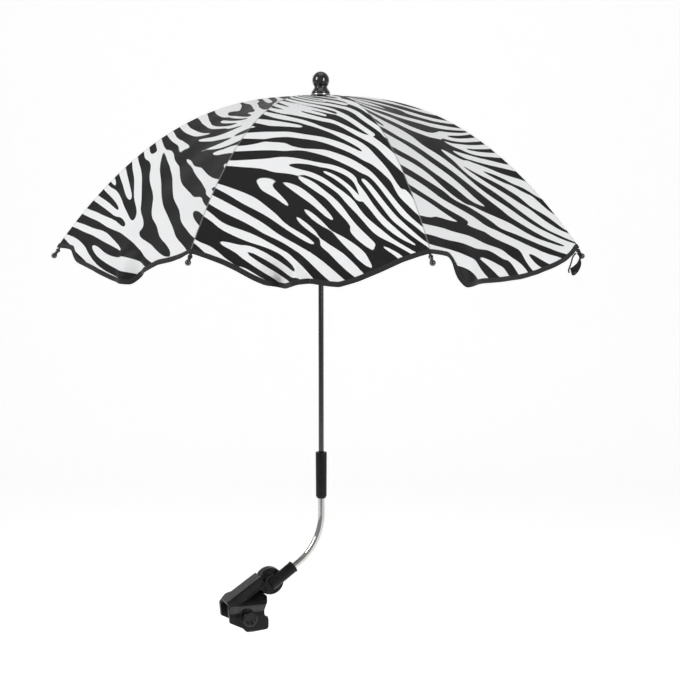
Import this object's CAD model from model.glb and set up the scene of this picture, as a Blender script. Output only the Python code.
# %% [markdown]
# # A clip-on stroller parasol
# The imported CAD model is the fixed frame. Every visible piece here is built in its metres, in its place, and
# rides on one of its bodies. The origin is the centre of the clamp's grip, X runs along the tube that it
# would grip, and the shaft stands along Z. Before each step a few sentences say what the piece is on the real
# object, how it could be made, and why this way was chosen.

# %% Load the frame
import math

import bmesh
import bpy
import numpy as np
from mathutils import Matrix, Vector


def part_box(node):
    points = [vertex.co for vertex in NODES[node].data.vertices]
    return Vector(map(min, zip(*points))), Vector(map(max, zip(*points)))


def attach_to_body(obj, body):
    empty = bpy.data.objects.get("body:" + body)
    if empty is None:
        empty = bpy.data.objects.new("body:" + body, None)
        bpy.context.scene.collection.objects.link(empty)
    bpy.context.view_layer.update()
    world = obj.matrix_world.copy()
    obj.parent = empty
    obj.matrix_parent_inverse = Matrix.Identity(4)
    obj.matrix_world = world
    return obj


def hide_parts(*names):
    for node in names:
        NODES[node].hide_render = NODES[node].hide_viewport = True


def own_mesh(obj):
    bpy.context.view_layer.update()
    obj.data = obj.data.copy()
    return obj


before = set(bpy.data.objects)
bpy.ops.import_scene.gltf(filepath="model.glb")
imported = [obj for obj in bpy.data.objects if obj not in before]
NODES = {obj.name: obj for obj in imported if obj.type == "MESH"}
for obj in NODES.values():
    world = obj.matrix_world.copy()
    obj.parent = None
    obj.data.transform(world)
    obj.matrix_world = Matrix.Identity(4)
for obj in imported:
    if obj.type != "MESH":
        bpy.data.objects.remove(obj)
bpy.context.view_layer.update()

# %% [markdown]
# ## Sizes
# These repeat the CAD source's numbers. The dome's rib line is z = rise * (1 - (r / radius) ** power), and
# the cloth is laid out by its length along that line. The sizes could be measured on the CAD's meshes
# instead, but the cloth, the ribs and the arm follow rules, and a rule is exact at any point.

# %% Sizes shared with the CAD
RIBS = 8
STEP = math.tau / RIBS
DOME_RADIUS, DOME_RISE, DOME_POWER = 0.400, 0.2215, 2.49
RIM = 0.5636
APEX = RIM + DOME_RISE
PANEL_SAG = 0.012
LOBE_DROP = 0.046
CLOTH_HOLE = 0.0085
SHAFT_X, SHAFT_Y = 0.126, -0.016
SHAFT_RADIUS = 0.004
PIVOT_R, PIVOT_Z = 0.0095, APEX - 0.0085
RIB_BELOW_CLOTH = 0.0037
RIB_PAST_HEM = 0.0115
BRACKET_AT, BRACKET_DROP = 0.190, 0.0042
FINIAL_TOP, FINIAL_BALL = 0.8225, 0.0130
SLEEVE_BOTTOM, SLEEVE_TOP, SLEEVE_RADIUS = 0.1705, 0.2428, 0.00875
ARM_TOP, ARM_BEND_START, ARM_BEND_RADIUS = 0.1935, 0.1458, 0.090
ARM_RADIUS, ARM_IN_SOCKET = 0.005, 0.028
SLOPE = math.radians(35)
SOCKET_MOUTH = 0.042
KNUCKLE = Vector((0.0455, 0, 0.0446))
DISC_FRONT = -0.0100
BAR_START, BAR_SLOPE = (-0.026, 0.015), math.radians(33)
BAR_LENGTH, BAR_HEIGHT, BAR_FRONT = 0.066, 0.0165, -0.0255
HOOK_FRONT = -0.0300
STRAP_RIB, STRAP_BESIDE_RIB = 7, 0.0043
STRAP_AT = Vector((0.3985, 0, 0.5560))
UP = Vector((0, 0, 1))
ALONG_Y = Vector((0, 1, 0))
AXIS_FOOT = Vector((SHAFT_X, SHAFT_Y, 0))


def unit(ways):
    """The same directions, each one long."""
    return ways / np.linalg.norm(ways, axis=-1, keepdims=True)


def towards(angle):
    """The direction in the XZ plane at this angle up from X."""
    return Vector((math.cos(angle), 0, math.sin(angle)))


def rise_at(radius):
    """How far the rib line stands above the rim."""
    return DOME_RISE * (1 - (radius / DOME_RADIUS) ** DOME_POWER)


LINE_R = np.linspace(0, DOME_RADIUS, 800)
LINE_Z = rise_at(LINE_R)
LINE_S = np.concatenate([[0], np.cumsum(np.hypot(np.diff(LINE_R), np.diff(LINE_Z)))])
RIB_ARC = float(LINE_S[-1])
CLOTH_START = float(np.interp(CLOTH_HOLE, LINE_R, LINE_S))


def half_width(s):
    """Half of a gore's flat width, s along it from the shaft."""
    return np.interp(np.minimum(s, RIB_ARC), LINE_S, LINE_R) * math.sin(STEP / 2)


def under_dome(radius, depth):
    """A point in a rib's plane, as (distance from the shaft, z), this far below the cloth's outer face."""
    slope = -DOME_RISE * DOME_POWER / DOME_RADIUS * (radius / DOME_RADIUS) ** (DOME_POWER - 1)
    length = math.hypot(slope, 1)
    return radius + depth * slope / length, RIM + rise_at(radius) - depth / length


def rib_point(s):
    """A point of a rib's centreline, s along the cloth from the shaft."""
    return under_dome(float(np.interp(s, LINE_S, LINE_R)), RIB_BELOW_CLOTH)


print(f"rib arc {RIB_ARC * 1000:.1f} mm")

# %% [markdown]
# ## Camera
# A long lens a little above the rim, turned so that the shaft stands left of the picture's middle. It was
# fitted to the seams and rib tips in the photo, so that the two pictures can be laid side by side. The lens
# comes from a focal length in pixels, which is what such a fit gives.

# %% Camera
PHOTO_SIZE = 680
FOCAL_PX = 1440.5
SENSOR_MM = 36
YAW, PITCH = math.radians(21.14), math.radians(5.638)
EYE_BESIDE, EYE_BACK, EYE_ABOVE_RIM = 0.029, 2.1965, 0.0695
ahead = Vector((math.sin(YAW), math.cos(YAW), 0))
right = Vector((math.cos(YAW), -math.sin(YAW), 0))
eye = Vector((SHAFT_X, SHAFT_Y, RIM + EYE_ABOVE_RIM)) + EYE_BESIDE * right - EYE_BACK * ahead
look = (ahead * math.cos(PITCH) - UP * math.sin(PITCH)).normalized()

camera_data = bpy.data.cameras.new("camera")
camera_data.sensor_width = SENSOR_MM
camera_data.lens = SENSOR_MM * FOCAL_PX / PHOTO_SIZE
camera = bpy.data.objects.new("camera", camera_data)
camera.location = eye
camera.rotation_euler = look.to_track_quat("-Z", "Y").to_euler()
bpy.context.scene.collection.objects.link(camera)
bpy.context.scene.camera = camera
print(f"camera lens {camera_data.lens:.1f} mm, {(eye - Vector((SHAFT_X, SHAFT_Y, RIM))).length:.2f} m away")

# %% [markdown]
# ## Helpers for meshes
# Most pieces are one of four kinds: an outline turned about an axis, a section swept along a line, a CAD
# shape with its edges rounded, or a CAD shape remeshed into a soft moulding. Each kind has a helper. The
# modifiers could stay live, but a piece that the joints move is simpler to check as a plain mesh, so they are
# applied.

# %% Objects and pieces
# Edges that turn by more than this many degrees stay sharp
SHARP = 35


def set_up(made, **settings):
    """Sets properties of a modifier, a node or a lamp."""
    for key, value in settings.items():
        setattr(made, key, value)
    return made


def add_object(name, data, material=None):
    obj = bpy.data.objects.new(name, data)
    bpy.context.scene.collection.objects.link(obj)
    if material:
        data.materials.append(material)
    return obj


def attach(piece, body, slot, *replaced):
    """Puts a finished piece on its body, in place of the CAD nodes that it dresses."""
    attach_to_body(piece, body)
    if replaced:
        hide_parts(*replaced)
    return piece


def settle(obj):
    """Gives the object a plain mesh of what it evaluates to, in the frame's own axes."""
    bpy.context.view_layer.update()
    graph = bpy.context.evaluated_depsgraph_get()
    mesh = bpy.data.meshes.new_from_object(obj.evaluated_get(graph))
    mesh.transform(obj.matrix_world)
    name = obj.name
    bpy.data.objects.remove(obj, do_unlink=True)
    mesh.name = name
    return add_object(name, mesh)


def smooth(obj, angle=SHARP):
    obj.data.shade_smooth()
    obj.data.set_sharp_from_angle(angle=math.radians(angle))
    return obj


# %% Meshes from points


def edited(mesh, edit):
    """Changes a mesh by what edit does to its bmesh."""
    shape = bmesh.new()
    shape.from_mesh(mesh)
    edit(shape)
    shape.to_mesh(mesh)
    shape.free()
    return mesh


def face_out(shape):
    bmesh.ops.recalc_face_normals(shape, faces=shape.faces)


def grid_faces(rows, columns, close_columns=False):
    """Quads between the points of a grid, row by row."""
    wide = columns if close_columns else columns - 1
    r, c = np.meshgrid(np.arange(rows - 1), np.arange(wide), indexing="ij")
    n = (c + 1) % columns
    quads = [r * columns + c, (r + 1) * columns + c, (r + 1) * columns + n, r * columns + n]
    return np.stack(quads, -1).reshape(-1, 4)


def mesh_from(name, points, faces):
    mesh = bpy.data.meshes.new(name)
    points = np.asarray(points, float).reshape(-1, 3).tolist()
    mesh.from_pydata(points, [], [list(map(int, face)) for face in faces])
    mesh.update()
    return mesh


def put_attribute(mesh, name, values):
    layer = mesh.attributes.new(name, "FLOAT", "POINT")
    layer.data.foreach_set("value", np.asarray(values, np.float32).ravel())


# %% Turned and swept shapes


def turn_to(axis):
    return Vector(axis).to_track_quat("Z", "Y").to_matrix().to_4x4()


def turned(name, outline, place, material, axis=UP, steps=64, ring=False, angle=SHARP):
    """A solid of revolution from (radius, height) points that run down its outer side."""
    mesh = bpy.data.meshes.new(name)
    count = len(outline)
    edges = [(i, i + 1) for i in range(count - 1)]
    if ring:
        edges.append((count - 1, 0))
    mesh.from_pydata([(r, 0, z) for r, z in outline], edges, [])
    obj = add_object(name, mesh, material)
    screw = obj.modifiers.new("turning", "SCREW")
    set_up(screw, axis="Z", angle=math.tau, steps=steps, render_steps=steps)
    set_up(screw, use_merge_vertices=True, merge_threshold=1e-6)
    obj.matrix_world = Matrix.Translation(place) @ turn_to(axis)
    return smooth(settle(obj), angle)


def rounded(points, radius=0.0006, steps=4):
    """Rounds the corners of an open outline with small arcs."""
    out = [points[0]]
    for before, here, after in zip(points, points[1:], points[2:]):
        a, b, c = (np.array(p, float) for p in (before, here, after))
        into, away = a - b, c - b
        reach = min(radius, 0.45 * np.linalg.norm(into), 0.45 * np.linalg.norm(away))
        if reach < 1e-6:
            out.append(tuple(b))
            continue
        start, end = b + into / np.linalg.norm(into) * reach, b + away / np.linalg.norm(away) * reach
        for t in np.linspace(0, 1, steps + 1):
            out.append(tuple((1 - t) ** 2 * start + 2 * t * (1 - t) * b + t * t * end))
    return out + [points[-1]]


def sweep(name, spine, section, side, material):
    """Carries a closed section along a spine. side(i) gives the unit directions of the section's axes."""
    rows = []
    for i, point in enumerate(spine):
        u, v = (np.asarray(way) for way in side(i))
        rows.append([point + a * u + b * v for a, b in section])
    count = len(section)
    faces = grid_faces(len(spine), count, True).tolist()
    faces.append(list(range(count)))
    faces.append([(len(spine) - 1) * count + i for i in reversed(range(count))])
    return add_object(name, edited(mesh_from(name, np.array(rows), faces), face_out), material)


def sweep_in_plane(name, line, y, section, material):
    """Carries a section along a line of (x, z) points that lies in a plane across Y."""
    line = np.array(line)
    heading = unit(np.gradient(line, axis=0))
    spine = np.stack([line[:, 0], 0 * line[:, 0] + y, line[:, 1]], -1)
    return sweep(name, spine, section, lambda i: ((0, 1, 0), (-heading[i][1], 0, heading[i][0])), material)


# %% Joined, moulded and refined pieces


def joined(name, objects):
    """Joins objects into one and keeps their materials."""
    shape = bmesh.new()
    slots = []
    for obj in objects:
        slots += [material for material in obj.data.materials if material not in slots]
        places = [slots.index(material) for material in obj.data.materials]
        done = len(shape.faces)
        shape.from_mesh(obj.data)
        shape.faces.ensure_lookup_table()
        for face in shape.faces[done:] if places else ():
            face.material_index = places[min(face.material_index, len(places) - 1)]
        bpy.data.objects.remove(obj, do_unlink=True)
    mesh = bpy.data.meshes.new(name)
    shape.to_mesh(mesh)
    shape.free()
    for material in slots:
        mesh.materials.append(material)
    return add_object(name, mesh)


def node_copy(node):
    """A copy of a CAD node's mesh, without its materials."""
    mesh = NODES[node].data.copy()
    mesh.materials.clear()
    return mesh


def moulded(name, node, material, voxel, passes, extras=()):
    """A CAD node's shape with the soft corners of a moulding, and any added detail grown into it."""
    obj = joined(name, [add_object(f"{name}_base", node_copy(node)), *extras])
    set_up(obj.modifiers.new("skin", "REMESH"), mode="VOXEL", voxel_size=voxel)
    set_up(obj.modifiers.new("soften", "SMOOTH"), factor=0.5, iterations=passes)
    obj = settle(obj)
    obj.data.materials.clear()
    obj.data.materials.append(material)
    obj.data.shade_smooth()
    return obj


def merge_flats(shape):
    bmesh.ops.remove_doubles(shape, verts=shape.verts, dist=1e-6)
    bmesh.ops.dissolve_limit(shape, angle_limit=math.radians(1), verts=shape.verts, edges=shape.edges)


def fine(node, body, material, slot, width=0.0003):
    """Dresses a CAD node with a copy of itself that has rounded edges."""
    obj = add_object(f"{node}_fine", edited(node_copy(node), merge_flats), material)
    bevel = obj.modifiers.new("rounding", "BEVEL")
    set_up(bevel, width=width, segments=2, limit_method="ANGLE", angle_limit=math.radians(SHARP))
    return attach(smooth(settle(obj)), body, slot, node)


# %% [markdown]
# ## Materials
# No real finish is one flat colour: plastic has a tooled grain and scuffs, drawn metal has fine lines, and
# tape has ribs. A picture could carry all this, but it would blur in a close view. Each finish is a small
# node tree of its own instead. Colour varies in all of them, and roughness and bump in most, at the scale of
# the real finish. They read Object coordinates, which move with the piece. The weave and the tape's ribs read
# a UV map in metres that follows the surface.

# %% Node helpers
# Where a colour Mix node keeps its factor, its two colours and its result
MIX_FACTOR, MIX_FIRST, MIX_SECOND, MIX_RESULT = 0, 6, 7, 2


def feed(made, inputs):
    """Gives a node's inputs plain values, or the sockets that drive them."""
    for key, value in inputs.items():
        if isinstance(value, bpy.types.NodeSocket):
            made.id_data.links.new(value, made.inputs[key])
        else:
            made.inputs[key].default_value = value


def node(tree, kind, inputs=None, **settings):
    made = set_up(tree.nodes.new(kind), **settings)
    feed(made, inputs or {})
    return made


def new_material(name):
    material = bpy.data.materials.new(name)
    material.use_nodes = True
    tree = material.node_tree
    return material, tree, tree.nodes["Principled BSDF"]


def noise(tree, vector, scale, detail=3, roughness=0.5):
    inputs = {"Vector": vector, "Scale": scale, "Detail": detail, "Roughness": roughness}
    return node(tree, "ShaderNodeTexNoise", inputs).outputs["Fac"]


def remap(tree, value, low, high, to_low=0.0, to_high=1.0, steps="LINEAR"):
    inputs = {"Value": value, "From Min": low, "From Max": high, "To Min": to_low, "To Max": to_high}
    return node(tree, "ShaderNodeMapRange", inputs, interpolation_type=steps).outputs["Result"]


def maths(tree, operation, first, second):
    return node(tree, "ShaderNodeMath", {0: first, 1: second}, operation=operation).outputs[0]


def mix(tree, factor, first, second):
    """A blend of two colours, each one a socket or three numbers."""
    first, second = ((*colour, 1) if isinstance(colour, tuple) else colour for colour in (first, second))
    inputs = {MIX_FACTOR: factor, MIX_FIRST: first, MIX_SECOND: second}
    return node(tree, "ShaderNodeMix", inputs, data_type="RGBA").outputs[MIX_RESULT]


def bump(tree, height, strength, distance, under=None):
    inputs = {"Strength": strength, "Distance": distance, "Height": height}
    if under:
        inputs["Normal"] = under
    return node(tree, "ShaderNodeBump", inputs).outputs["Normal"]


def object_place(tree):
    return node(tree, "ShaderNodeTexCoord").outputs["Object"]


def cloth_place(tree):
    return node(tree, "ShaderNodeUVMap", uv_map="cloth").outputs["UV"]


def attribute(tree, name):
    return node(tree, "ShaderNodeAttribute", attribute_name=name).outputs["Fac"]


def stretched(tree, vector, scale):
    return node(tree, "ShaderNodeMapping", {"Vector": vector, "Scale": scale}).outputs["Vector"]


def tinted(colour, factor, lift=0.0):
    return tuple(min(1.0, c * factor + lift) for c in colour)


# %% Plastic, metal and tape


def plastic(name, colour, shine, grain, coat=0.0, specular=0.32):
    """Moulded plastic with a fine tooled grain and faint handling marks."""
    material, tree, shader = new_material(name)
    place = object_place(tree)
    cloud = remap(tree, noise(tree, place, 60, 4), 0.3, 0.7)
    scuffs = noise(tree, stretched(tree, place, (300, 300, 60)), 1.0, 5, 0.7)
    feed(shader, {
        "Base Color": mix(tree, cloud, colour, tinted(colour, 1.4, 0.003)),
        "Roughness": remap(tree, scuffs, 0.35, 0.7, shine * 0.85, min(1.0, shine * 1.3)),
        "Normal": bump(tree, noise(tree, place, 2600, 2), grain, 0.0001),
        "Specular IOR Level": specular,
        "Coat Weight": coat,
        "Coat Roughness": 0.06,
    })
    return material


def metal(name, colour, shine, along=(40, 40, 40), strength=0.05):
    """Metal with a fine drawn grain that stretches along one axis."""
    material, tree, shader = new_material(name)
    grain = noise(tree, stretched(tree, object_place(tree), along), 30, 4, 0.65)
    feed(shader, {
        "Metallic": 1.0,
        "Base Color": mix(tree, remap(tree, grain, 0.3, 0.7), tinted(colour, 0.82), colour),
        "Roughness": remap(tree, grain, 0.3, 0.75, shine * 0.75, shine * 1.35),
        "Normal": bump(tree, grain, strength, 0.00005),
    })
    return material


def tape(name, colour):
    """Woven binding tape: fine ribs across its length, read from its UV map in metres."""
    material, tree, shader = new_material(name)
    weave = {"Scale": 420, "Distortion": 0.6, "Vector": cloth_place(tree)}
    ribs = node(tree, "ShaderNodeTexWave", weave, bands_direction="X").outputs["Fac"]
    fuzz = noise(tree, object_place(tree), 900, 3)
    feed(shader, {
        "Base Color": mix(tree, maths(tree, "MULTIPLY", ribs, fuzz), colour, tinted(colour, 2.2, 0.012)),
        "Roughness": 0.7,
        "Sheen Weight": 0.15,
        "Sheen Roughness": 0.4,
        "Specular IOR Level": 0.25,
        "Normal": bump(tree, ribs, 0.5, 0.0002),
    })
    return material


# %% Printed cloth


def striped_cloth(name, white, black, shine, show=1.0):
    """Printed satin. The point attribute stripe is the print, over zero where it is black."""
    material, tree, shader = new_material(name)
    place = object_place(tree)
    bleed = maths(tree, "MULTIPLY", maths(tree, "SUBTRACT", noise(tree, place, 700, 2), 0.5), 0.05)
    stripe = maths(tree, "ADD", attribute(tree, "stripe"), bleed)
    ink = remap(tree, stripe, -0.035, 0.035, 0.0, show, "SMOOTHSTEP")
    tone = noise(tree, place, 9, 3)
    paper = mix(tree, remap(tree, tone, 0.3, 0.7), tinted(white, 0.955), white)
    dye = mix(tree, noise(tree, place, 160, 4), tinted(black, 0.75), tinted(black, 1.35))
    shade = remap(tree, attribute(tree, "seam"), 0.0003, 0.0013, 0.5, 0.0, "SMOOTHSTEP")
    weave = {"Scale": 620, "Distortion": 1.2, "Detail": 1, "Vector": cloth_place(tree)}
    threads = node(tree, "ShaderNodeTexWave", weave, bands_direction="DIAGONAL").outputs["Fac"]
    creases = noise(tree, stretched(tree, place, (1, 1, 0.6)), 34, 4, 0.55)
    feed(shader, {
        "Base Color": mix(tree, shade, mix(tree, ink, paper, dye), (0.30, 0.30, 0.31)),
        "Normal": bump(tree, creases, 0.10, 0.004, bump(tree, threads, 0.22, 0.00012)),
        "Roughness": remap(tree, tone, 0.25, 0.75, shine * 0.88, shine * 1.15),
        "Sheen Weight": 0.02,
        "Sheen Roughness": 0.35,
        "Specular IOR Level": 0.16,
    })
    return material


# %% Materials
CLOTH = striped_cloth("printed_satin", (0.800, 0.805, 0.812), (0.009, 0.009, 0.010), 0.52)
LINING = striped_cloth("printed_satin_back", (0.60, 0.60, 0.62), (0.045, 0.045, 0.047), 0.62, 0.92)
BINDING = tape("binding_tape", (0.010, 0.010, 0.011))
GLOSS = plastic("gloss_black_plastic", (0.004, 0.004, 0.004), 0.10, 0.02, coat=1.0)
MATTE = plastic("matte_black_plastic", (0.006, 0.006, 0.0065), 0.30, 0.14, coat=0.03, specular=0.15)
KNOB = plastic("knob_black_plastic", (0.006, 0.006, 0.0065), 0.26, 0.12, coat=0.12, specular=0.2)
GUNMETAL = metal("gunmetal_paint", (0.082, 0.082, 0.085), 0.22, (60, 60, 3), 0.04)
CHROME = metal("polished_chrome", (0.60, 0.59, 0.57), 0.07, (25, 25, 25), 0.015)
ZINC = metal("zinc_plate", (0.55, 0.55, 0.54), 0.28, (40, 40, 8), 0.06)
RUBBER = plastic("soft_rubber", (0.022, 0.022, 0.022), 0.75, 0.35)
THREAD = plastic("thread", (0.035, 0.035, 0.037), 0.8, 0.3)
print(f"{len(bpy.data.materials)} materials")

# %% [markdown]
# ## The zebra print
# Such a canopy is sewn from cloth that was printed flat, so the stripes break off at every seam. Here there
# is one print field for each gore, in the cloth's flat plane. A plain wave texture gives stripes that never
# fork. So seeded noise is pulled again and again through filters that follow a chosen stripe direction, until
# the stripes merge, fork and taper as on printed cloth. Short tables turn and size them where they are seen.

# %% Print tables
# The kind of print and the seed of each gore. The fifth, sixth and seventh gores face the camera.
PRINT_OF = ("front", "left", "right", "front", "left", "front", "right", "left")
SEEDS = (42, 117, 105, 57, 80, 81, 79, 27)
# Each table has eight rows down a gore, at these shares of this length
TABLE_LENGTH = 0.52
TABLE_ROWS = (0.12, 0.25, 0.38, 0.50, 0.62, 0.74, 0.86, 0.97)
# How the stripes slope down to the right, in degrees, at the left, middle and right of each row
SLOPES = {
    "left": (
        (30, 43, 53), (12, 31, 37), (26, 21, 26), (34, 10, -10),
        (38, 40, 14), (27, 40, 43), (16, 24, 31), (24, 30, 10),
    ),
    "front": (
        (20, 68, 78), (45, 42, 57), (41, 39, 43), (-8, 30, 46),
        (-5, 24, 50), (37, 39, 50), (24, 30, 30), (32, 42, 15),
    ),
    "right": (
        (150, 125, 105), (60, 98, 80), (60, 48, 42), (40, 32, 5),
        (42, 50, 20), (38, 52, 53), (13, 15, 42), (35, 45, 0),
    ),
}
SLOPES_REACH = 0.7
# How wide the stripes of each row are, and how much blacker than even the row is
WIDTHS = {"left": (1,) * 8, "front": (0.50, 0.55, 0.62, 0.72, 0.84, 0.92, 0.98, 1.0), "right": (1,) * 8}
BLACKER = {
    "left": (-0.30, -0.38, -0.38, -0.22, -0.06, -0.04, -0.04, -0.04),
    "front": (0.02, 0.06, 0.12, 0.14, 0.14, 0.14, 0.14, 0.14),
    "right": (0.04, 0.06, 0.08, 0.06, 0.02, 0.00, 0.00, 0.00),
}

# %% Print grid and filters
PRINT_PITCH = 0.0025
PRINT_WIDE, PRINT_LONG = 152, 240
STRIPE_WAVE = 0.0264
# Sizes of the filters' stripes next to that wave, each with how far it blends. The first is for narrowed rows.
FILTER_SIZES = ((0.48, 0.18), (0.62, 0.22), (0.80, 0.22), (1.04, 0.22), (1.35, 0.22))
FILTER_TURNS = range(0, 180, 12)
FILTER_ACROSS, FILTER_ALONG = 0.36, 0.12
# How often the noise is filtered, how hard it is pushed to black or white before that, and how far slopes blend
PASSES, PUSH, BLEND_DEGREES = 6, 1.2, 10
# How much the slope (in degrees), the width and the black vary at random, and over how many metres
SLOPE_VARIES, WIDTH_VARIES, BLACK_VARIES = (9, 0.13), (0.30, 0.10), (0.42, 0.05)
across_m = (np.arange(PRINT_WIDE) - PRINT_WIDE / 2) * PRINT_PITCH
PRINT_Y, PRINT_X = np.meshgrid(np.arange(PRINT_LONG) * PRINT_PITCH, across_m, indexing="ij")
FREQ_Y, FREQ_X = np.meshgrid(*(np.fft.fftfreq(n, PRINT_PITCH) for n in (PRINT_LONG, PRINT_WIDE)), indexing="ij")
FREQ = np.hypot(FREQ_X, FREQ_Y)


def by_row(column):
    """A table's column, spread down the whole print."""
    return np.interp(PRINT_Y / TABLE_LENGTH, TABLE_ROWS, column)


def stripe_slope(kind):
    """The slope of a gore's stripes, in degrees, all over its flat plane."""
    share = np.clip(PRINT_X / np.maximum(half_width(PRINT_Y), 0.004) / SLOPES_REACH, -1, 1)
    low, mid, high = (by_row(column) for column in np.array(SLOPES[kind], float).T)
    return np.where(share < 0, mid + (mid - low) * share, mid + (high - mid) * share)


def soft_noise(rng, depth, size):
    """Smooth noise about zero, this deep, with features of this size in metres."""
    spectrum = np.fft.fft2(rng.standard_normal((PRINT_LONG, PRINT_WIDE)))
    field = np.fft.ifft2(spectrum * np.exp(-((FREQ * size) ** 2) * 2)).real
    return depth * (field / field.std())


def band_pass(wave, turn):
    """A filter that passes stripes of one wavelength that run at one slope, in radians."""
    across = wave * (FREQ_Y * math.cos(turn) - FREQ_X * math.sin(turn))
    along = wave * (FREQ_X * math.cos(turn) + FREQ_Y * math.sin(turn))
    fade = (along / FILTER_ALONG) ** 2
    return sum(np.exp(-(((across - side) / FILTER_ACROSS) ** 2) - fade) for side in (1, -1))


# %% Stripe field


def stripe_field(seed, kind):
    """The print of one gore, over zero where it is black."""
    rng = np.random.default_rng(seed)
    angle = stripe_slope(kind) + soft_noise(rng, *SLOPE_VARIES)
    scale = (1 + soft_noise(rng, *WIDTH_VARIES)) * by_row(WIDTHS[kind])
    filters, weights = [], []
    for size, spread in FILTER_SIZES if min(WIDTHS[kind]) < 1 else FILTER_SIZES[1:]:
        for turn in FILTER_TURNS:
            filters.append(band_pass(STRIPE_WAVE * size, math.radians(turn)))
            apart = (angle - turn + 90) % 180 - 90
            weights.append(np.exp(-((apart / BLEND_DEGREES) ** 2)) * np.exp(-(((scale - size) / spread) ** 2)))
    total = sum(weights) + 1e-9
    field = rng.standard_normal((PRINT_LONG, PRINT_WIDE))
    for _ in range(PASSES):
        spectrum = np.fft.fft2(np.tanh(PUSH * field))
        field = sum(w * np.fft.ifft2(spectrum * f).real for w, f in zip(weights, filters)) / total
        field = field / field.std()
    return field + soft_noise(rng, *BLACK_VARIES) + by_row(BLACKER[kind])


def sample(field, x, y):
    """Reads a field at flat positions in metres."""
    column = np.clip(x / PRINT_PITCH + PRINT_WIDE / 2, 0, PRINT_WIDE - 1.001)
    row = np.clip(y / PRINT_PITCH, 0, PRINT_LONG - 1.001)
    c, r = column.astype(int), row.astype(int)
    fc, fr = column - c, row - r
    top, low = (field[r + i, c] * (1 - fc) + field[r + i, c + 1] * fc for i in (0, 1))
    return top * (1 - fr) + low * fr


PRINTS = [stripe_field(seed, kind) for seed, kind in zip(SEEDS, PRINT_OF)]
print(f"black share of the front gore's print: {(PRINTS[5] > 0).mean():.2f}")

# %% [markdown]
# ## The cloth
# Each gore is one sewn panel between two ribs. Its hem hangs below the rim in a lobe with its own folds. A
# cloth simulation could hang it, but stretched cloth has little freedom. It follows the ribs' curve, sags
# slightly between them, and falls in a few folds at the hem, so a formula gives the same shape each time. A
# gore is built in two halves, so that each half can gather towards its own rib when the canopy folds.

# %% Hems and folds
# How far each kind of hem hangs below the rim, in millimetres, at these places across the gore
HEM_STOPS = (
    -1, -0.86, -0.77, -0.72, -0.67, -0.62, -0.49, -0.37, -0.21, -0.12, 0, 0.15, 0.24, 0.39, 0.58, 0.77, 0.9, 1,
)
HEM_DROPS = {
    "front": [0, 6.5, 11.5, 14.6, 18.3, 22, 33, 42, 46, 40, 38.5, 42, 43, 36, 24, 10.5, 4, 0],
    "right": [0, 2.4, 5, 12, 36, 46, 43.6, 42.2, 42, 41.8, 41.2, 39.8, 37.8, 34.2, 26, 18, 8.5, 0],
    "left": [0, 0.8, 2.5, 10, 18, 21, 26, 29.6, 36.8, 40.8, 44.4, 46, 34, 26.8, 16.6, 11.6, 6.5, 0],
    "plain": [0, 5, 10, 13, 17, 21, 30, 37, 43, 45, 46, 44, 42, 35, 23, 10, 4, 0],
    "behind": [0, 5, 10, 13, 17, 21, 27, 28, 26, 30, 34.5, 38, 39.5, 35, 23, 10, 4, 0],
    "far_left": [0, 5, 10, 13, 17, 21, 29, 33, 29, 26, 24, 22, 19, 12, 3, 0.5, 0, 0],
    "far_right": [0, 2, 4, 6, 7.5, 9, 14, 18, 20, 20.5, 21, 26, 29, 33, 30, 18, 7, 0],
}
HEM_OF = ["plain", "plain", "behind", "far_left", "left", "front", "right", "far_right"]
FINE = np.linspace(-1, 1, 401)
# Folds of each hem: where across the gore, how wide, how deep in metres, and how far above the rim they start
LEFT_FOLD, RIGHT_FOLD = (-0.55, 0.14, -0.007, 0.03), (0.4, 0.16, -0.006, 0.04)
END_FOLD = (0.75, 0.10, 0.004, 0.03)
FOLDS = {
    "front": [
        (-0.13, 0.05, 0.010, 0.016), (-0.30, 0.10, -0.022, 0.006),
        (0.42, 0.16, 0.005, 0.05), (0.86, 0.07, -0.004, 0.03),
    ],
    "right": [
        (-0.74, 0.07, -0.012, 0.012), (-0.55, 0.10, 0.006, 0.03),
        (0.05, 0.12, -0.004, 0.06), (0.6, 0.12, 0.004, 0.05),
    ],
    "left": [
        (-0.82, 0.07, -0.008, 0.008), (0.06, 0.07, 0.006, 0.03),
        (0.24, 0.09, -0.010, 0.02), (-0.35, 0.15, 0.004, 0.05),
    ],
    "plain": [LEFT_FOLD, (-0.15, 0.12, 0.006, 0.04), RIGHT_FOLD, END_FOLD],
    "behind": [LEFT_FOLD, (-0.05, 0.12, 0.005, 0.04), RIGHT_FOLD, END_FOLD],
    "far_left": [(-0.5, 0.14, -0.007, 0.03), (-0.1, 0.12, 0.006, 0.04), (0.4, 0.16, -0.008, 0.03)],
    "far_right": [(-0.4, 0.16, -0.008, 0.03), (0.0, 0.12, 0.006, 0.04), (0.5, 0.16, -0.006, 0.04)],
}


def hem_curve(kind):
    drops = np.interp(FINE, HEM_STOPS, HEM_DROPS[kind])
    kernel = np.exp(-np.linspace(-2, 2, 17) ** 2)
    smoothed = np.convolve(np.pad(drops, 8, mode="edge"), kernel / kernel.sum(), "valid")
    return np.minimum(smoothed / 1000, LOBE_DROP) * (1 - np.abs(FINE) ** 24)


HEMS = {kind: hem_curve(kind) for kind in HEM_DROPS}


def hem_drop(k, a):
    return np.interp(a, FINE, HEMS[HEM_OF[k]])


# %% Cloth surface
HEM_FLARE, HEM_CURL, HEM_FALL = 0.58, 0.012, 0.985
FOLD_END, FOLD_EASE = 0.035, 1.6
RIPPLE = 0.0011
DROOP_IN, DROOP_DOWN = 0.0020, 0.0042
SEAM_RAISED, SEAM_WIDE, SEAM_GAP = 0.0003, 0.0014, 0.00022


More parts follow.
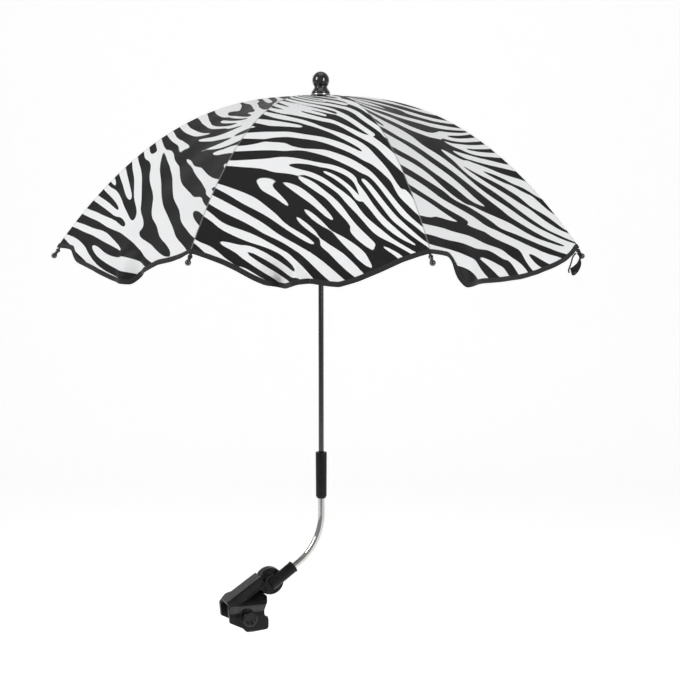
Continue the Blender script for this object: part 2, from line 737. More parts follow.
def cloth_point(k, s, a):
    """The cloth's outer face, s along the gore from the shaft and a across it from -1 to 1."""
    r = np.interp(np.minimum(s, RIB_ARC), LINE_S, LINE_R)
    past = np.maximum(s - RIB_ARC, 0)
    half = STEP / 2
    wide = r * math.sin(half)
    outward = r * math.cos(half) - PANEL_SAG * r * (1 - a**2)
    outward = outward + HEM_FLARE * HEM_CURL * (1 - np.exp(-past / HEM_CURL))
    for centre, width, depth, above in FOLDS[HEM_OF[k]]:
        grow = np.clip((s - (RIB_ARC - above)) / (above + FOLD_END), 0, 1) ** FOLD_EASE
        outward = outward + depth * grow * np.exp(-(((a - centre) / width) ** 2))
    outward = outward + RIPPLE * np.sin(9 * a + 2.1 * k + 26 * s) * np.clip(s / 0.25, 0, 1) * (1 - a**2)
    droop = (1 - a**2) * np.sin(math.pi * np.clip(s / RIB_ARC, 0, 1)) ** 0.7
    outward = outward - DROOP_IN * droop
    z = RIM + np.interp(r, LINE_R, LINE_Z) - past * HEM_FALL - DROOP_DOWN * droop
    z = z + SEAM_RAISED * np.exp(-((wide * (1 - np.abs(a)) / SEAM_WIDE) ** 2)) * (s < RIB_ARC)
    side = a * (wide - SEAM_GAP)
    turn = k * STEP + half
    x = outward * math.cos(turn) - side * math.sin(turn)
    y = outward * math.sin(turn) + side * math.cos(turn)
    return np.stack([SHAFT_X + x, SHAFT_Y + y, z], -1)


def cloth_normals(k, s, a):
    """Outward unit normals of the cloth, from small steps along and across it."""
    step_s, step_a = 0.0012, 0.006
    along = cloth_point(k, s + step_s, a) - cloth_point(k, s - step_s, a)
    across = cloth_point(k, s, np.clip(a + step_a, -1, 1)) - cloth_point(k, s, np.clip(a - step_a, -1, 1))
    return unit(np.cross(along, across))


# %% Half gores
CLOTH_ROWS, CLOTH_COLUMNS = 196, 68
CLOTH_THICK = 0.0004


def put_uv(mesh, u, v):
    layer = mesh.uv_layers.new(name="cloth")
    corner = np.empty(len(mesh.loops), int)
    mesh.loops.foreach_get("vertex_index", corner)
    pairs = np.stack([u.ravel()[corner], v.ravel()[corner]], -1)
    layer.data.foreach_set("uv", pairs.astype(np.float32).ravel())


def half_gore(k, side):
    """One half of gore k as a thin double sheet: side 0 lies by rib k, side 1 by the next rib."""
    ramp = np.linspace(0, 1, CLOTH_COLUMNS)
    a = (-1 + ramp if side == 0 else ramp)[None, :]
    t = np.linspace(0, 1, CLOTH_ROWS)[:, None]
    s = CLOTH_START + t * (RIB_ARC + hem_drop(k, a) - CLOTH_START)
    a = np.broadcast_to(a, s.shape)
    outer = cloth_point(k, s, a)
    normals = cloth_normals(k, s, a)
    inner = outer - normals * CLOTH_THICK
    count = CLOTH_ROWS * CLOTH_COLUMNS
    front = grid_faces(CLOTH_ROWS, CLOTH_COLUMNS)
    back = front[:, ::-1] + count
    columns, rows = np.arange(CLOTH_COLUMNS), np.arange(CLOTH_ROWS) * CLOTH_COLUMNS
    loop = [columns[:-1], rows[:-1] + columns[-1], (rows[-1] + columns)[:0:-1], rows[:0:-1]]
    loop = np.concatenate(loop)
    rims = [[j, i, i + count, j + count] for i, j in zip(loop, np.roll(loop, -1))]
    name = f"canopy_cloth_{k + 1}{'ab'[side]}"
    points = np.concatenate([outer.reshape(-1, 3), inner.reshape(-1, 3)])
    mesh = mesh_from(name, points, [*front, *back, *rims])
    flat_x = a * half_width(s)
    put_uv(mesh, np.tile(flat_x.ravel(), 2), np.tile(s.ravel(), 2))
    put_attribute(mesh, "stripe", np.tile(sample(PRINTS[k], flat_x, s).ravel(), 2))
    put_attribute(mesh, "seam", np.tile((half_width(s) * (1 - np.abs(a))).ravel(), 2))
    mesh.materials.append(CLOTH)
    mesh.materials.append(LINING)
    slots = np.zeros(len(mesh.polygons), np.int32)
    slots[len(front) :] = 1
    mesh.polygons.foreach_set("material_index", slots)
    mesh.shade_smooth()
    facing = np.concatenate([normals.reshape(-1, 3), -normals.reshape(-1, 3)])
    mesh.normals_split_custom_set_from_vertices(facing.tolist())
    return add_object(name, mesh), outer


# %% Hem tape
# The tape's section, as (below the hem, outwards from the cloth)
TAPE_SECTION = [
    (-0.0058, 0.00035), (-0.0040, 0.00060), (-0.0012, 0.00075), (0.0006, 0.00055), (0.0011, -0.0002),
    (0.0006, -0.00095), (-0.0012, -0.00115), (-0.0040, -0.00100), (-0.0058, -0.00075),
]
STITCH_ABOVE_HEM, STITCH_OUT = 0.0046, 0.00060


def hem_tape(k, side, points):
    """The folded tape over the hem of a half gore, and the line that its stitches follow."""
    hem, above = points[-1], points[-3]
    along = unit(np.gradient(hem, axis=0))
    down = hem - above
    down = unit(down - along * (down * along).sum(1, keepdims=True))
    out = np.cross(along, down)
    middle = len(out) // 2
    if out[middle] @ (hem[middle] - np.array([SHAFT_X, SHAFT_Y, hem[0][2]])) < 0:
        out = -out
    name = f"hem_tape_{k + 1}{'ab'[side]}"
    piece = sweep(name, hem, TAPE_SECTION, lambda i: (down[i], out[i]), BINDING)
    run = np.concatenate([[0], np.cumsum(np.linalg.norm(np.diff(hem, axis=0), axis=1))])
    put_uv(piece.data, np.repeat(run, len(TAPE_SECTION)), np.tile([p[0] for p in TAPE_SECTION], len(hem)))
    return smooth(piece, 50), hem - down * STITCH_ABOVE_HEM + out * STITCH_OUT


HALVES, TAPES, STITCH_LINES = {}, {}, {}
for k in range(RIBS):
    for side in (0, 1):
        HALVES[k, side], surface = half_gore(k, side)
        TAPES[k, side], STITCH_LINES[k, side] = hem_tape(k, side, surface)
print(f"{len(HALVES)} half gores, {sum(len(o.data.vertices) for o in HALVES.values())} points")

# %% [markdown]
# ## Stitches along the tape
# A line of machine stitches holds the folded tape on the hem. A loop could place each one, but then it would
# have to measure the line itself. A Geometry Nodes group lays one short thread at every step along any line.
# It is realised and given its material before it becomes a plain mesh.

# %% Stitch group
STITCH_RADIUS, STITCH_STRETCH, STITCH_PITCH = 0.00024, 4.2, 0.0031


def stitch_group():
    group = bpy.data.node_groups.new("stitches", "GeometryNodeTree")
    for name, way, kind in (
        ("Geometry", "INPUT", "Geometry"), ("Pitch", "INPUT", "Float"), ("Geometry", "OUTPUT", "Geometry"),
    ):
        group.interface.new_socket(name, in_out=way, socket_type=f"NodeSocket{kind}")
    line = node(group, "NodeGroupInput").outputs
    steps = {"Curve": line["Geometry"], "Length": line["Pitch"]}
    points = node(group, "GeometryNodeCurveToPoints", steps, mode="LENGTH").outputs
    spindle = node(group, "GeometryNodeMeshUVSphere", {"Segments": 6, "Rings": 4, "Radius": STITCH_RADIUS})
    laid = node(group, "GeometryNodeInstanceOnPoints", {
        "Points": points["Points"],
        "Rotation": points["Rotation"],
        "Instance": spindle.outputs["Mesh"],
        "Scale": (1, 1, STITCH_STRETCH),
    })
    real = node(group, "GeometryNodeRealizeInstances", {"Geometry": laid.outputs["Instances"]})
    dyed = node(group, "GeometryNodeSetMaterial", {"Geometry": real.outputs["Geometry"], "Material": THREAD})
    node(group, "NodeGroupOutput", {"Geometry": dyed.outputs["Geometry"]})
    return group


STITCHES = stitch_group()
PITCH_SOCKET = next(i.identifier for i in STITCHES.interface.items_tree if i.name == "Pitch")


def stitch_run(name, points, pitch=STITCH_PITCH):
    """A line of stitches through these points."""
    curve = bpy.data.curves.new(name, "CURVE")
    curve.dimensions = "3D"
    spline = curve.splines.new("POLY")
    spline.points.add(len(points) - 1)
    for spot, point in zip(spline.points, points):
        spot.co = (*point, 1)
    line = add_object(name, curve)
    made = set_up(line.modifiers.new("stitches", "NODES"), node_group=STITCHES)
    made[PITCH_SOCKET] = pitch
    thread = settle(line)
    thread.data.shade_smooth()
    return thread


for key, path in STITCH_LINES.items():
    name = TAPES[key].name
    TAPES[key] = joined(name, [TAPES[key], stitch_run(f"{name}_thread", path[2:-1])])
print(f"hem stitches: {sum(len(o.data.vertices) for o in TAPES.values())} points with the tape")

# %% [markdown]
# ## Cloth on its ribs
# On the real parasol the cloth is held at the top and at the rib tips, and gathers between the ribs as they
# fold. It could be cut into many small panels that turn one by one. Each half gore rides on its own rib
# instead, and is squeezed towards that rib's plane, so that it stays joined to the rib at every angle. Its
# flat size before sewing is stated with it.

# %% Attach the cloth
flat_wide, flat_long = DOME_RADIUS * math.sin(STEP / 2), RIB_ARC + LOBE_DROP
rows = np.linspace(CLOTH_START, RIB_ARC, 400)
ends = np.linspace(0, 1, 200)
for (k, side), cloth in HALVES.items():
    rib = (k + side) % RIBS
    turn = rib * STEP
    for piece, slot in ((cloth, "printed_cloth"), (TAPES[k, side], "black_binding")):
        attach(piece, f"rib_{rib + 1}", slot, f"canopy_gore_{k + 1}")
        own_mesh(piece)
    area = np.trapz(half_width(rows), rows)
    area += np.trapz(hem_drop(k, ends if side else ends - 1), ends) * flat_wide
print("cloth halves ride on their ribs")

# %% [markdown]
# ## Ribs and tips
# A rib is a steel wire with a groove along its inner side, which makes it stiffer. It runs under a seam, from
# an eye at the top to a tip past the hem, and a riveted bracket holds its stretcher. A bevelled curve could
# carry the section, but a curve may twist it on the way. Here the section is swept in the rib's own plane, so
# the groove stays on the inner side. One rib and one tip are made and copied round the shaft.

# %% Ribs
RIB_HALF, FLUTE_DEEP, FLUTE_WIDE = 0.0014, 0.0011, 0.0006
LUG_RADIUS, LUG_THICK = 0.0019, 0.0012
last, before = rib_point(RIB_ARC), rib_point(RIB_ARC - 0.04)
RIB_HEM = Vector((last[0], 0, last[1]))
RIB_DIRECTION = Vector((last[0] - before[0], 0, last[1] - before[1])).normalized()


def rib_lug():
    """The bracket that the stretcher's rivet goes through, hung under the rib."""
    foot_r, foot_z = under_dome(BRACKET_AT, RIB_BELOW_CLOTH + BRACKET_DROP)
    top_r, top_z = under_dome(BRACKET_AT, RIB_BELOW_CLOTH)
    foot, top = Vector((foot_r, 0, foot_z)), Vector((top_r, 0, top_z))
    down = (foot - top).normalized()
    flat = Vector((down.z, 0, -down.x))
    corners = ((-0.0030, -0.0008), (0.0030, -0.0008), (LUG_RADIUS, 0.0030))
    outline = [top + flat * x + down * y for x, y in corners]
    for t in np.linspace(0, math.pi, 9):
        outline.append(foot + flat * LUG_RADIUS * math.cos(t) + down * LUG_RADIUS * math.sin(t))
    outline.append(top + flat * -LUG_RADIUS + down * 0.0030)
    points = [(p.x, y, p.z) for y in (-LUG_THICK / 2, LUG_THICK / 2) for p in outline]
    count = len(outline)
    faces = [list(range(count)), [count + i for i in reversed(range(count))]]
    faces += [[i, (i + 1) % count, count + (i + 1) % count, count + i] for i in range(count)]
    return add_object("rib_lug", mesh_from("rib_lug", points, faces), GUNMETAL), foot


def rib_mesh():
    """One fluted rib in the XZ plane through the shaft's axis, with its eye, its bracket and its rivet."""
    stations = np.linspace(float(np.interp(0.022, LINE_R, LINE_S)), RIB_ARC, 60)
    end = RIB_HEM + RIB_DIRECTION * RIB_PAST_HEM
    line = [(PIVOT_R + 0.0015, PIVOT_Z), *(rib_point(s) for s in stations), (end.x, end.z)]
    section = []
    for t in np.linspace(0, math.tau, 20, endpoint=False):
        x, y = RIB_HALF * math.cos(t), RIB_HALF * math.sin(t)
        if y < -RIB_HALF / 2:
            y += FLUTE_DEEP * math.exp(-((x / FLUTE_WIDE) ** 2))
        section.append((x, y))
    bar = smooth(sweep_in_plane("rib_bar", line, 0, section, GUNMETAL), 50)
    eye_outline = rounded([(0.0012, 0.0017), (0.0026, 0.0017), (0.0026, -0.0017), (0.0012, -0.0017)], 0.0003)
    pivot = Vector((PIVOT_R, 0, PIVOT_Z))
    ring = turned("rib_eye", eye_outline, pivot, GUNMETAL, axis=ALONG_Y, steps=28, ring=True)
    lug, foot = rib_lug()
    upper = [(0, 0.0021), (0.0011, 0.0020), (0.0011, 0.0019), (0.0008, 0.0019)]
    rivet_outline = rounded(upper + [(r, -z) for r, z in reversed(upper)], 0.0001, 2)
    rivet = turned("rib_rivet", rivet_outline, foot, ZINC, axis=ALONG_Y, steps=16)
    whole = joined("rib_whole", [bar, ring, lug, rivet])
    edited(whole.data, face_out)
    return smooth(whole, 45)


# %% Tips
TIP_BALL, TIP_START = 0.0041, 0.0012
WRAPS, WRAP_RADIUS, WRAP_WIRE, WRAP_STEP, WRAP_START = 4, 0.0029, 0.00026, 0.00050, 0.0026


def tip_pieces():
    """The cap on a rib's end: a ball, a waisted sleeve and the thread that ties it to the hem."""
    ball = RIB_PAST_HEM + TIP_START
    outline = [(0, ball + TIP_BALL)]
    for turn in np.radians(range(80, -51, -10)):
        outline.append((TIP_BALL * math.cos(turn), ball + TIP_BALL * math.sin(turn)))
    outline += [(0.0023, ball - 0.0038), (0.0022, ball - 0.0050)]
    outline += [(0.0027, TIP_START + 0.0036), (0.0027, TIP_START + 0.0002), (0.0022, TIP_START)]
    outline += [(0.0018, TIP_START), (0.0018, RIB_PAST_HEM), (0, RIB_PAST_HEM)]
    parts = [turned("tip_cap", outline, RIB_HEM, GLOSS, axis=RIB_DIRECTION, steps=32, angle=50)]
    for i in range(WRAPS):
        height = WRAP_START + i * WRAP_STEP
        round_it = np.linspace(0, -math.tau, 6, endpoint=False)
        loop = [(WRAP_RADIUS + WRAP_WIRE * math.cos(t), height + WRAP_WIRE * math.sin(t)) for t in round_it]
        parts.append(turned(f"tip_wrap_{i}", loop, RIB_HEM, THREAD, axis=RIB_DIRECTION, steps=20, ring=True))
    return joined("tip_whole", parts)


def ring_of(original, name, replaced, slot):
    """A copy of a piece for each rib, turned about the shaft."""
    for k in range(RIBS):
        mesh = original.data.copy()
        mesh.transform(Matrix.Translation(AXIS_FOOT) @ Matrix.Rotation(k * STEP, 4, "Z"))
        attach(add_object(f"{name}_{k + 1}", mesh), f"rib_{k + 1}", slot, f"{replaced}_{k + 1}")
    bpy.data.objects.remove(original, do_unlink=True)


ring_of(rib_mesh(), "rib_wire", "rib", "gunmetal")
ring_of(tip_pieces(), "tip_cap", "rib_tip", "gloss_black")
print("eight ribs and tips")

# %% [markdown]
# ## Crown, shaft, runner and catches
# A gloss finial sits on a pale ring and a black washer, which hold the middle of the cloth on a thin tube.
# All of them are round, so each is turned from half of its outline, as on a lathe. The notch, the runner, the
# catches and the stretchers under the canopy could be built again by hand. Their CAD shapes are already
# right, so those are kept, and only their edges are rounded, because a real edge always catches a thin line
# of light.

# %% Crown and shaft
BORE = 0.0043
ring_low, ring_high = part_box("cap_ring")
base = ring_high[2] + 0.0003
ball_z = FINIAL_TOP - FINIAL_BALL
profile = [(0, FINIAL_TOP)]
for angle in range(86, -37, -6):
    t = math.radians(angle)
    stretch = 1.12 if angle < 0 else 1.0
    profile.append((FINIAL_BALL * math.cos(t), ball_z + FINIAL_BALL * stretch * math.sin(t)))
profile += [(0.0100, ball_z - 0.0098), (0.0099, ball_z - 0.0108), (0.0102, ball_z - 0.0118)]
profile += [(0.0112, ball_z - 0.0132), (0.0128, base + 0.0046), (0.0138, base + 0.0032)]
profile += [(0.0143, base + 0.0022), (0.0143, base + 0.0010), (0.0140, base), (0.003, base), (0, base)]
attach(turned("finial_cap", profile, AXIS_FOOT, GLOSS, steps=72, angle=60), "shaft", "gloss_black", "finial")


def sleeve_round(name, inner, outer, low, high, edge, material, steps):
    """A plain ring about the shaft's axis with rounded edges."""
    outline = rounded([(inner, high), (outer, high), (outer, low), (inner, low)], edge)
    return turned(name, outline, AXIS_FOOT, material, steps=steps, ring=True)


ring_radius = (ring_high[0] - ring_low[0]) / 2
pale = sleeve_round("pale_ring", BORE, ring_radius, ring_low[2], ring_high[2], 0.0005, ZINC, 72)
attach(pale, "shaft", "zinc_steel", "cap_ring")

low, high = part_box("canopy_washer")
wide = (high[0] - low[0]) / 2
outline = [(BORE, high[2]), (wide - 0.0030, high[2]), (wide, low[2] + 0.0003)]
outline += [(wide - 0.0004, low[2]), (BORE, low[2])]
patch = turned("top_patch", rounded(outline, 0.0004), AXIS_FOOT, THREAD, steps=72, ring=True)
stitched = wide - 0.0028
seam = []
for t in np.linspace(0, math.tau, 60):
    seam.append((SHAFT_X + stitched * math.cos(t), SHAFT_Y + stitched * math.sin(t), high[2]))
patch = joined("top_patch", [patch, stitch_run("top_patch_thread", seam, 0.0026)])
attach(patch, "shaft", "black_binding", "canopy_washer")

low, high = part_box("shaft")
tube = sleeve_round("shaft_tube", 0.0033, SHAFT_RADIUS, low[2], high[2], 0.0002, GUNMETAL, 40)
attach(tube, "shaft", "gunmetal", "shaft")
fine("shaft_plug", "shaft", MATTE, "matte_black", 0.0002)
fine("top_notch", "shaft", GLOSS, "gloss_black", 0.0002)
fine("notch_ring", "shaft", ZINC, "zinc_steel", 0.0002)
fine("runner", "runner", MATTE, "matte_black")
fine("runner_ring", "runner", ZINC, "zinc_steel")
for name in ("top_catch", "bottom_catch"):
    fine(name, name, ZINC, "zinc_steel", 0.0002)
for k in range(RIBS):
    fine(f"stretcher_{k + 1}", f"stretcher_{k + 1}", GUNMETAL, "gunmetal", 0.0002)
print("crown, shaft, runner and stretchers")

# %% [markdown]
# ## Sleeve and arm
# The shaft plugs into a plastic sleeve on a bent chrome tube. The tube could be a curve with a round bevel.
# It is a circle swept along the CAD's own centre line, an arc between two straight stretches, so that it
# meets the sleeve and the socket exactly. The sleeve is turned, and tapers slightly, as a part from a mould
# does.

# %% Sleeve and arm
sleeve_profile = [
    (0.0065, SLEEVE_TOP),
    (SLEEVE_RADIUS - 0.0006, SLEEVE_TOP),
    (SLEEVE_RADIUS, SLEEVE_TOP - 0.0010),
    (SLEEVE_RADIUS - 0.0004, SLEEVE_BOTTOM + 0.0036),
    (SLEEVE_RADIUS - 0.0022, SLEEVE_BOTTOM),
    (0.0053, SLEEVE_BOTTOM),
    (0.0053, SLEEVE_BOTTOM + 0.02),
    (0.0062, SLEEVE_BOTTOM + 0.02),
]
sleeve = turned("shaft_sleeve", rounded(sleeve_profile), AXIS_FOOT, MATTE, steps=64, ring=True)
attach(sleeve, "arm", "matte_black", "sleeve")
fine("sleeve_bush", "arm", MATTE, "matte_black")


def on_bend(angle):
    """A point of the arm's bend, as (x, z)."""
    return SHAFT_X - ARM_BEND_RADIUS * (1 - math.cos(angle)), ARM_BEND_START - ARM_BEND_RADIUS * math.sin(angle)


BEND = math.pi / 2 - SLOPE
SOCKET_WAY = towards(SLOPE)
bend_x, bend_z = on_bend(BEND)
bend_end = Vector((bend_x, SHAFT_Y, bend_z))
SOCKET_AT = bend_end + SOCKET_WAY * (Vector((KNUCKLE.x, SHAFT_Y, KNUCKLE.z)) - bend_end).dot(SOCKET_WAY)
inside = SOCKET_AT + SOCKET_WAY * (SOCKET_MOUTH - ARM_IN_SOCKET)
arm_line = [(SHAFT_X, ARM_TOP), (SHAFT_X, (ARM_TOP + ARM_BEND_START) / 2)]
arm_line += [*(on_bend(angle) for angle in np.linspace(0, BEND, 40)), (inside.x, inside.z)]
around = np.linspace(0, math.tau, 40, endpoint=False)
section = [(ARM_RADIUS * math.cos(t), ARM_RADIUS * math.sin(t)) for t in around]
arm = sweep_in_plane("chrome_arm", arm_line, SHAFT_Y, section, CHROME)
attach(smooth(arm, 60), "arm", "chrome", "arm_tube")
print("sleeve and arm")

# %% [markdown]
# ## Clamp and knuckle
# The clamp's hook, the socket and the hand knob are moulded in black plastic. Mouldings have soft corners,
# and their small ribs and lips run into the faces around them. Bevels could round the CAD's edges, but they
# wouldn't blend an added detail in. So the details are laid on as bars, and a voxel remesh grows them and the
# CAD solid into one skin, which is then smoothed. The bolt, washer, pad, foot, spindle and clamp knob have
# plainer shapes, and only get rounded edges.

# %% Knuckle


def bar_between(name, start, end, radius, sides=10):
    start, end = Vector(start), Vector(end)
    place = Matrix.Translation((start + end) / 2) @ turn_to(end - start)

    def fill(shape):
        size = {"radius1": radius, "radius2": radius, "depth": (end - start).length}
        bmesh.ops.create_cone(shape, cap_ends=True, segments=sides, **size)
        bmesh.ops.transform(shape, matrix=place, verts=shape.verts)

    return add_object(name, edited(bpy.data.meshes.new(name), fill))


def ridge(name, points, radius):
    """A rounded ridge through these points."""
    steps = enumerate(zip(points, points[1:]))
    return joined(name, [bar_between(f"{name}_{i}", a, b, radius) for i, (a, b) in steps])


def ring_points(centre, y, radius, turns):
    """Points of a circle that faces along Y."""
    return [centre + towards(turn) * radius + ALONG_Y * y for turn in turns]


DISC_RIM_RADIUS, DISC_RIM_HALF = 0.0190, 0.0011
LIP_RADIUS, LIP_FROM, LIP_TO = 0.0098, 0.0030, 0.0016
DISC_RIB_AT, DISC_RIB_LONG, DISC_RIB_HALF = 0.0120, 0.0065, 0.0009
lip_ends = [SOCKET_AT + SOCKET_WAY * (SOCKET_MOUTH - back) for back in (LIP_FROM, LIP_TO)]
disc_line = ring_points(KNUCKLE, DISC_FRONT, DISC_RIM_RADIUS, np.linspace(0.9, 5.4, 34))
socket_extras = [
    bar_between("socket_lip", *lip_ends, LIP_RADIUS, 40),
    ridge("disc_rim", disc_line, DISC_RIM_HALF),
]
for i, turn in enumerate(np.radians((118, 134, 150, 205, 222, 239))):
    way = towards(turn)
    start = KNUCKLE + way * DISC_RIB_AT + ALONG_Y * DISC_FRONT
    socket_extras.append(bar_between(f"disc_rib_{i}", start, start + way * DISC_RIB_LONG, DISC_RIB_HALF))
attach(moulded("knuckle_socket", "socket", MATTE, 0.00045, 3, socket_extras), "socket", "matte_black", "socket")
fine("knuckle_bolt", "socket", ZINC, "zinc_steel")
fine("knuckle_washer", "socket", RUBBER, "soft_rubber", 0.0002)
hand_knob = moulded("knuckle_hand_knob", "knuckle_knob", KNOB, 0.0005, 4)
attach(hand_knob, "knuckle_knob", "matte_black", "knuckle_knob")

# %% Clamp
BAR_FRAME, BOSS_RING, BOSS_RING_RADIUS = 0.0014, 0.0013, 0.0102
bar_way, bar_up = towards(BAR_SLOPE), towards(BAR_SLOPE + math.pi / 2)


def on_bar(along, up):
    """A point on the sloping bar's front face."""
    return Vector((BAR_START[0], BAR_FRONT, BAR_START[1])) + bar_way * along + bar_up * up


edge, far = BAR_HEIGHT / 2 - 0.0022, BAR_LENGTH - 0.0024
frame_line = [on_bar(0.0300, -edge), on_bar(far, -edge), on_bar(far, edge), on_bar(0.0040, edge)]
boss_line = ring_points(Vector(), HOOK_FRONT, BOSS_RING_RADIUS, np.linspace(0, math.tau, 33))
hook_extras = [ridge("bar_frame", frame_line, BAR_FRAME), ridge("boss_ring", boss_line, BOSS_RING)]
attach(moulded("clamp_hook", "clamp_body", MATTE, 0.0005, 2, hook_extras), "clamp", "matte_black", "clamp_body")
fine("jaw_pad", "clamp", RUBBER, "soft_rubber", 0.0005)
fine("pressure_foot", "pressure_foot", MATTE, "matte_black", 0.0004)
fine("spindle", "clamp_screw", ZINC, "zinc_steel", 0.0002)
fine("clamp_knob", "clamp_screw", KNOB, "matte_black", 0.0004)
print("clamp and knuckle")

# %% [markdown]
# ## Closure strap
# A loop of black tape hangs at one rib tip, and ties the folded canopy. Its outline was measured in the
# photo. A simulation could twist a ribbon into such a loop, but hardly into this one. Flat plates of tape are
# drawn as smooth outlines instead, given a thickness and rolled edges, laid over one another, and stitched.

# %% Strap
# The leaf's outline, the strand's line and the neck's line, in millimetres outwards and up from the strap's top
LEAF = (
    (4.0, -7.4), (5.8, -10.4), (6.6, -14.6), (5.8, -19.4), (3.8, -24.0), (0.8, -28.4), (-2.7, -31.6),
    (-5.4, -32.0), (-7.0, -30.6), (-8.0, -27.6), (-9.0, -24.4), (-9.2, -21.8), (-7.0, -20.6),
    (-3.5, -18.0), (0.1, -14.6), (2.6, -10.8),
)
STRAND = (
    (-1.2, -0.4), (-4.2, -3.4), (-6.4, -7.4), (-7.8, -13.2), (-9.4, -18.4), (-10.8, -22.0),
    (-11.6, -25.2), (-10.6, -28.6),
)
NECK = ((0.6, -0.6), (3.6, -3.4), (4.6, -6.6), (4.9, -9.6))
ROLLED = 0.3


def eased(points, count, closed):
    """A smooth line through these points."""
    points = np.array(points, float)
    size = len(points)
    out = []
    for i in range(size if closed else size - 1):
        spots = [(i + j) % size if closed else min(max(i + j, 0), size - 1) for j in (-1, 0, 1, 2)]
        p = points[spots]
        for t in np.linspace(0, 1, count, endpoint=False):
            a = 2 * p[1] + (p[2] - p[0]) * t + (2 * p[0] - 5 * p[1] + 4 * p[2] - p[3]) * t**2
            out.append(0.5 * (a + (3 * p[1] - p[0] - 3 * p[2] + p[3]) * t**3))
    return np.array(out if closed else out + [points[-1]]) / 1000


def tape_plate(name, outline, thick, lift=0.0):
    """A flat piece of tape in the strap's plane, with its edges rolled over."""

    def fill(shape):
        face = shape.faces.new([shape.verts.new((x, lift - thick / 2, z)) for x, z in outline])
        pushed = bmesh.ops.extrude_face_region(shape, geom=[face])["geom"]
        moved = [item for item in pushed if isinstance(item, bmesh.types.BMVert)]
        bmesh.ops.translate(shape, verts=moved, vec=(0, thick, 0))
        face_out(shape)
        rims = {edge for face in shape.faces if len(face.verts) > 4 for edge in face.edges}
        size = {"offset": thick * ROLLED, "segments": 2}
        bmesh.ops.bevel(shape, geom=list(rims), affect="EDGES", clamp_overlap=True, **size)

    mesh = edited(bpy.data.meshes.new(name), fill)
    points = np.array([tuple(v.co) for v in mesh.vertices])
    put_uv(mesh, points[:, 2], points[:, 0])
    return smooth(add_object(name, mesh, BINDING), 40)


def ribbon(name, line, width, thick, lift=0.0):
    """A narrow tape along a line in the strap's plane."""
    line = eased(line, 6, False)
    way = unit(np.gradient(line, axis=0))
    side = np.stack([-way[:, 1], way[:, 0]], -1) * width / 2
    return tape_plate(name, np.concatenate([line + side, (line - side)[::-1]]), thick, lift)


leaf_line = eased(LEAF, 5, True)
middle = leaf_line.mean(0)
inset = middle + (leaf_line - middle) * np.array([0.80, 0.88])
inner = middle + (leaf_line - middle) * np.array([0.55, 0.68])
strap = joined("strap_loop", [
    tape_plate("strap_leaf", leaf_line, 0.0012),
    tape_plate("strap_patch", inner, 0.0008, -0.0009),
    ribbon("strap_strand", STRAND, 0.0021, 0.0008, 0.0002),
    ribbon("strap_neck", NECK, 0.0026, 0.0009, -0.0002),
    stitch_run("strap_thread", [(x, -0.00066, z) for x, z in [*inset, inset[0]]], 0.0022),
])
turn = STRAP_RIB * STEP
beside = Vector((math.sin(turn), -math.cos(turn), 0)) * STRAP_BESIDE_RIB
place = Matrix.Translation(AXIS_FOOT + beside) @ Matrix.Rotation(turn, 4, "Z")
strap.data.transform(place @ Matrix.Translation(STRAP_AT))
attach(strap, "closure_strap", "black_binding", "closure_strap")
fine("strap_snap", "closure_strap", GLOSS, "gloss_black")
print("strap")

# %% [markdown]
# ## Floor, backdrop and lights
# The photo has a white ground and soft light. A white sweep lies under and behind the object, a white world
# gives soft fill, and three large soft lamps give shape. A flat floor and wall would show a line where they
# meet, so the sweep bends. It could be lit until it looks white, but then it would light the black parts from
# below.

# %% Stage
FLOOR_Z = -0.42
SWEEP_NEAR, SWEEP_BEND_AT, SWEEP_BEND, SWEEP_TOP, SWEEP_HALF = -2.25, 3.0, 2.0, 6.5, 7.0
GLOW, WORLD_LIGHT = 0.55, 0.36
LAMP_AIM = Vector((SHAFT_X, SHAFT_Y, 0.62))
white, tree, shader = new_material("studio_white")
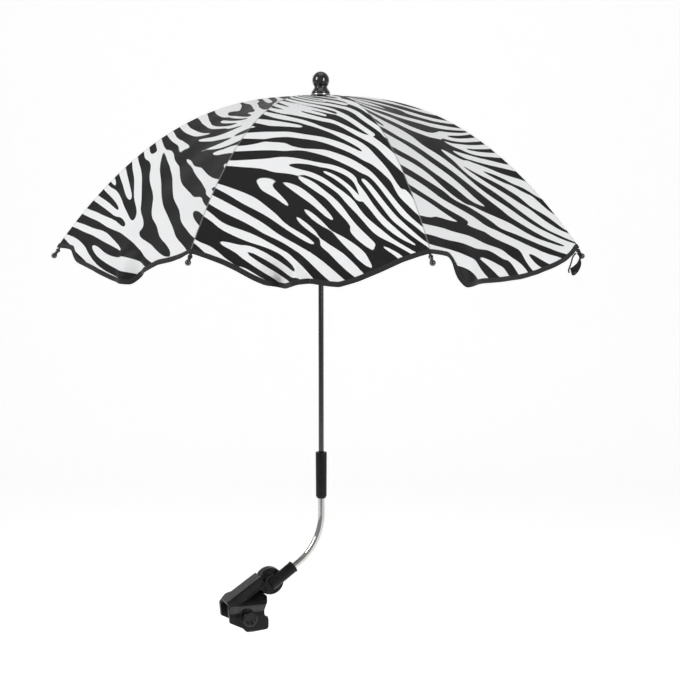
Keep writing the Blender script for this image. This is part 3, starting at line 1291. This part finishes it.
# The sweep looks white to the camera and in shiny parts, and lights nothing by itself
rays = node(tree, "ShaderNodeLightPath").outputs
shiny = maths(tree, "ADD", rays["Is Glossy Ray"], rays["Is Transmission Ray"])
seen = maths(tree, "MINIMUM", maths(tree, "ADD", rays["Is Camera Ray"], shiny), 1.0)
feed(shader, {
    "Base Color": mix(tree, noise(tree, object_place(tree), 0.6, 2), (0.90, 0.90, 0.90), (0.93, 0.93, 0.93)),
    "Roughness": 0.9,
    "Specular IOR Level": 0.1,
    "Emission Strength": maths(tree, "MULTIPLY", seen, GLOW),
    "Emission Color": (1.0, 1.0, 1.0, 1),
})
sweep_line = [(SWEEP_NEAR, FLOOR_Z), (SWEEP_BEND_AT, FLOOR_Z)]
for t in np.linspace(0.05, math.pi / 2, 24):
    height = FLOOR_Z + SWEEP_BEND - SWEEP_BEND * math.cos(t)
    sweep_line.append((SWEEP_BEND_AT + SWEEP_BEND * math.sin(t), height))
sweep_line.append((SWEEP_BEND_AT + SWEEP_BEND, SWEEP_TOP))
corners = []
for depth, height in sweep_line:
    for side in (-SWEEP_HALF, SWEEP_HALF):
        spot = AXIS_FOOT + ahead * depth + right * side
        corners.append((spot.x, spot.y, height))
backdrop = add_object("studio_sweep", mesh_from("studio_sweep", corners, grid_faces(len(sweep_line), 2)), white)
backdrop.data.shade_smooth()

world = bpy.data.worlds.new("studio")
bpy.context.scene.world = world
world.use_nodes = True
feed(world.node_tree.nodes["Background"], {"Color": (1.0, 1.0, 1.0, 1), "Strength": WORLD_LIGHT})


def soft_lamp(name, place, size, power):
    data = bpy.data.lights.new(name, "AREA")
    set_up(data, shape="RECTANGLE", size=size[0], size_y=size[1], energy=power)
    lamp = add_object(name, data)
    lamp.location = place
    lamp.rotation_euler = (LAMP_AIM - place).to_track_quat("-Z", "Y").to_euler()


soft_lamp("key", LAMP_AIM - ahead * 1.2 - right * 1.9 + UP * 0.9, (0.8, 1.2), 31)
soft_lamp("fill", LAMP_AIM - ahead * 1.7 + right * 1.5 + UP * 0.4, (0.7, 1.2), 25)
soft_lamp("top", LAMP_AIM + UP * 2.2 - ahead * 0.3, (1.6, 1.6), 7)
bpy.context.scene.view_settings.view_transform = "Standard"
print("stage and lights")
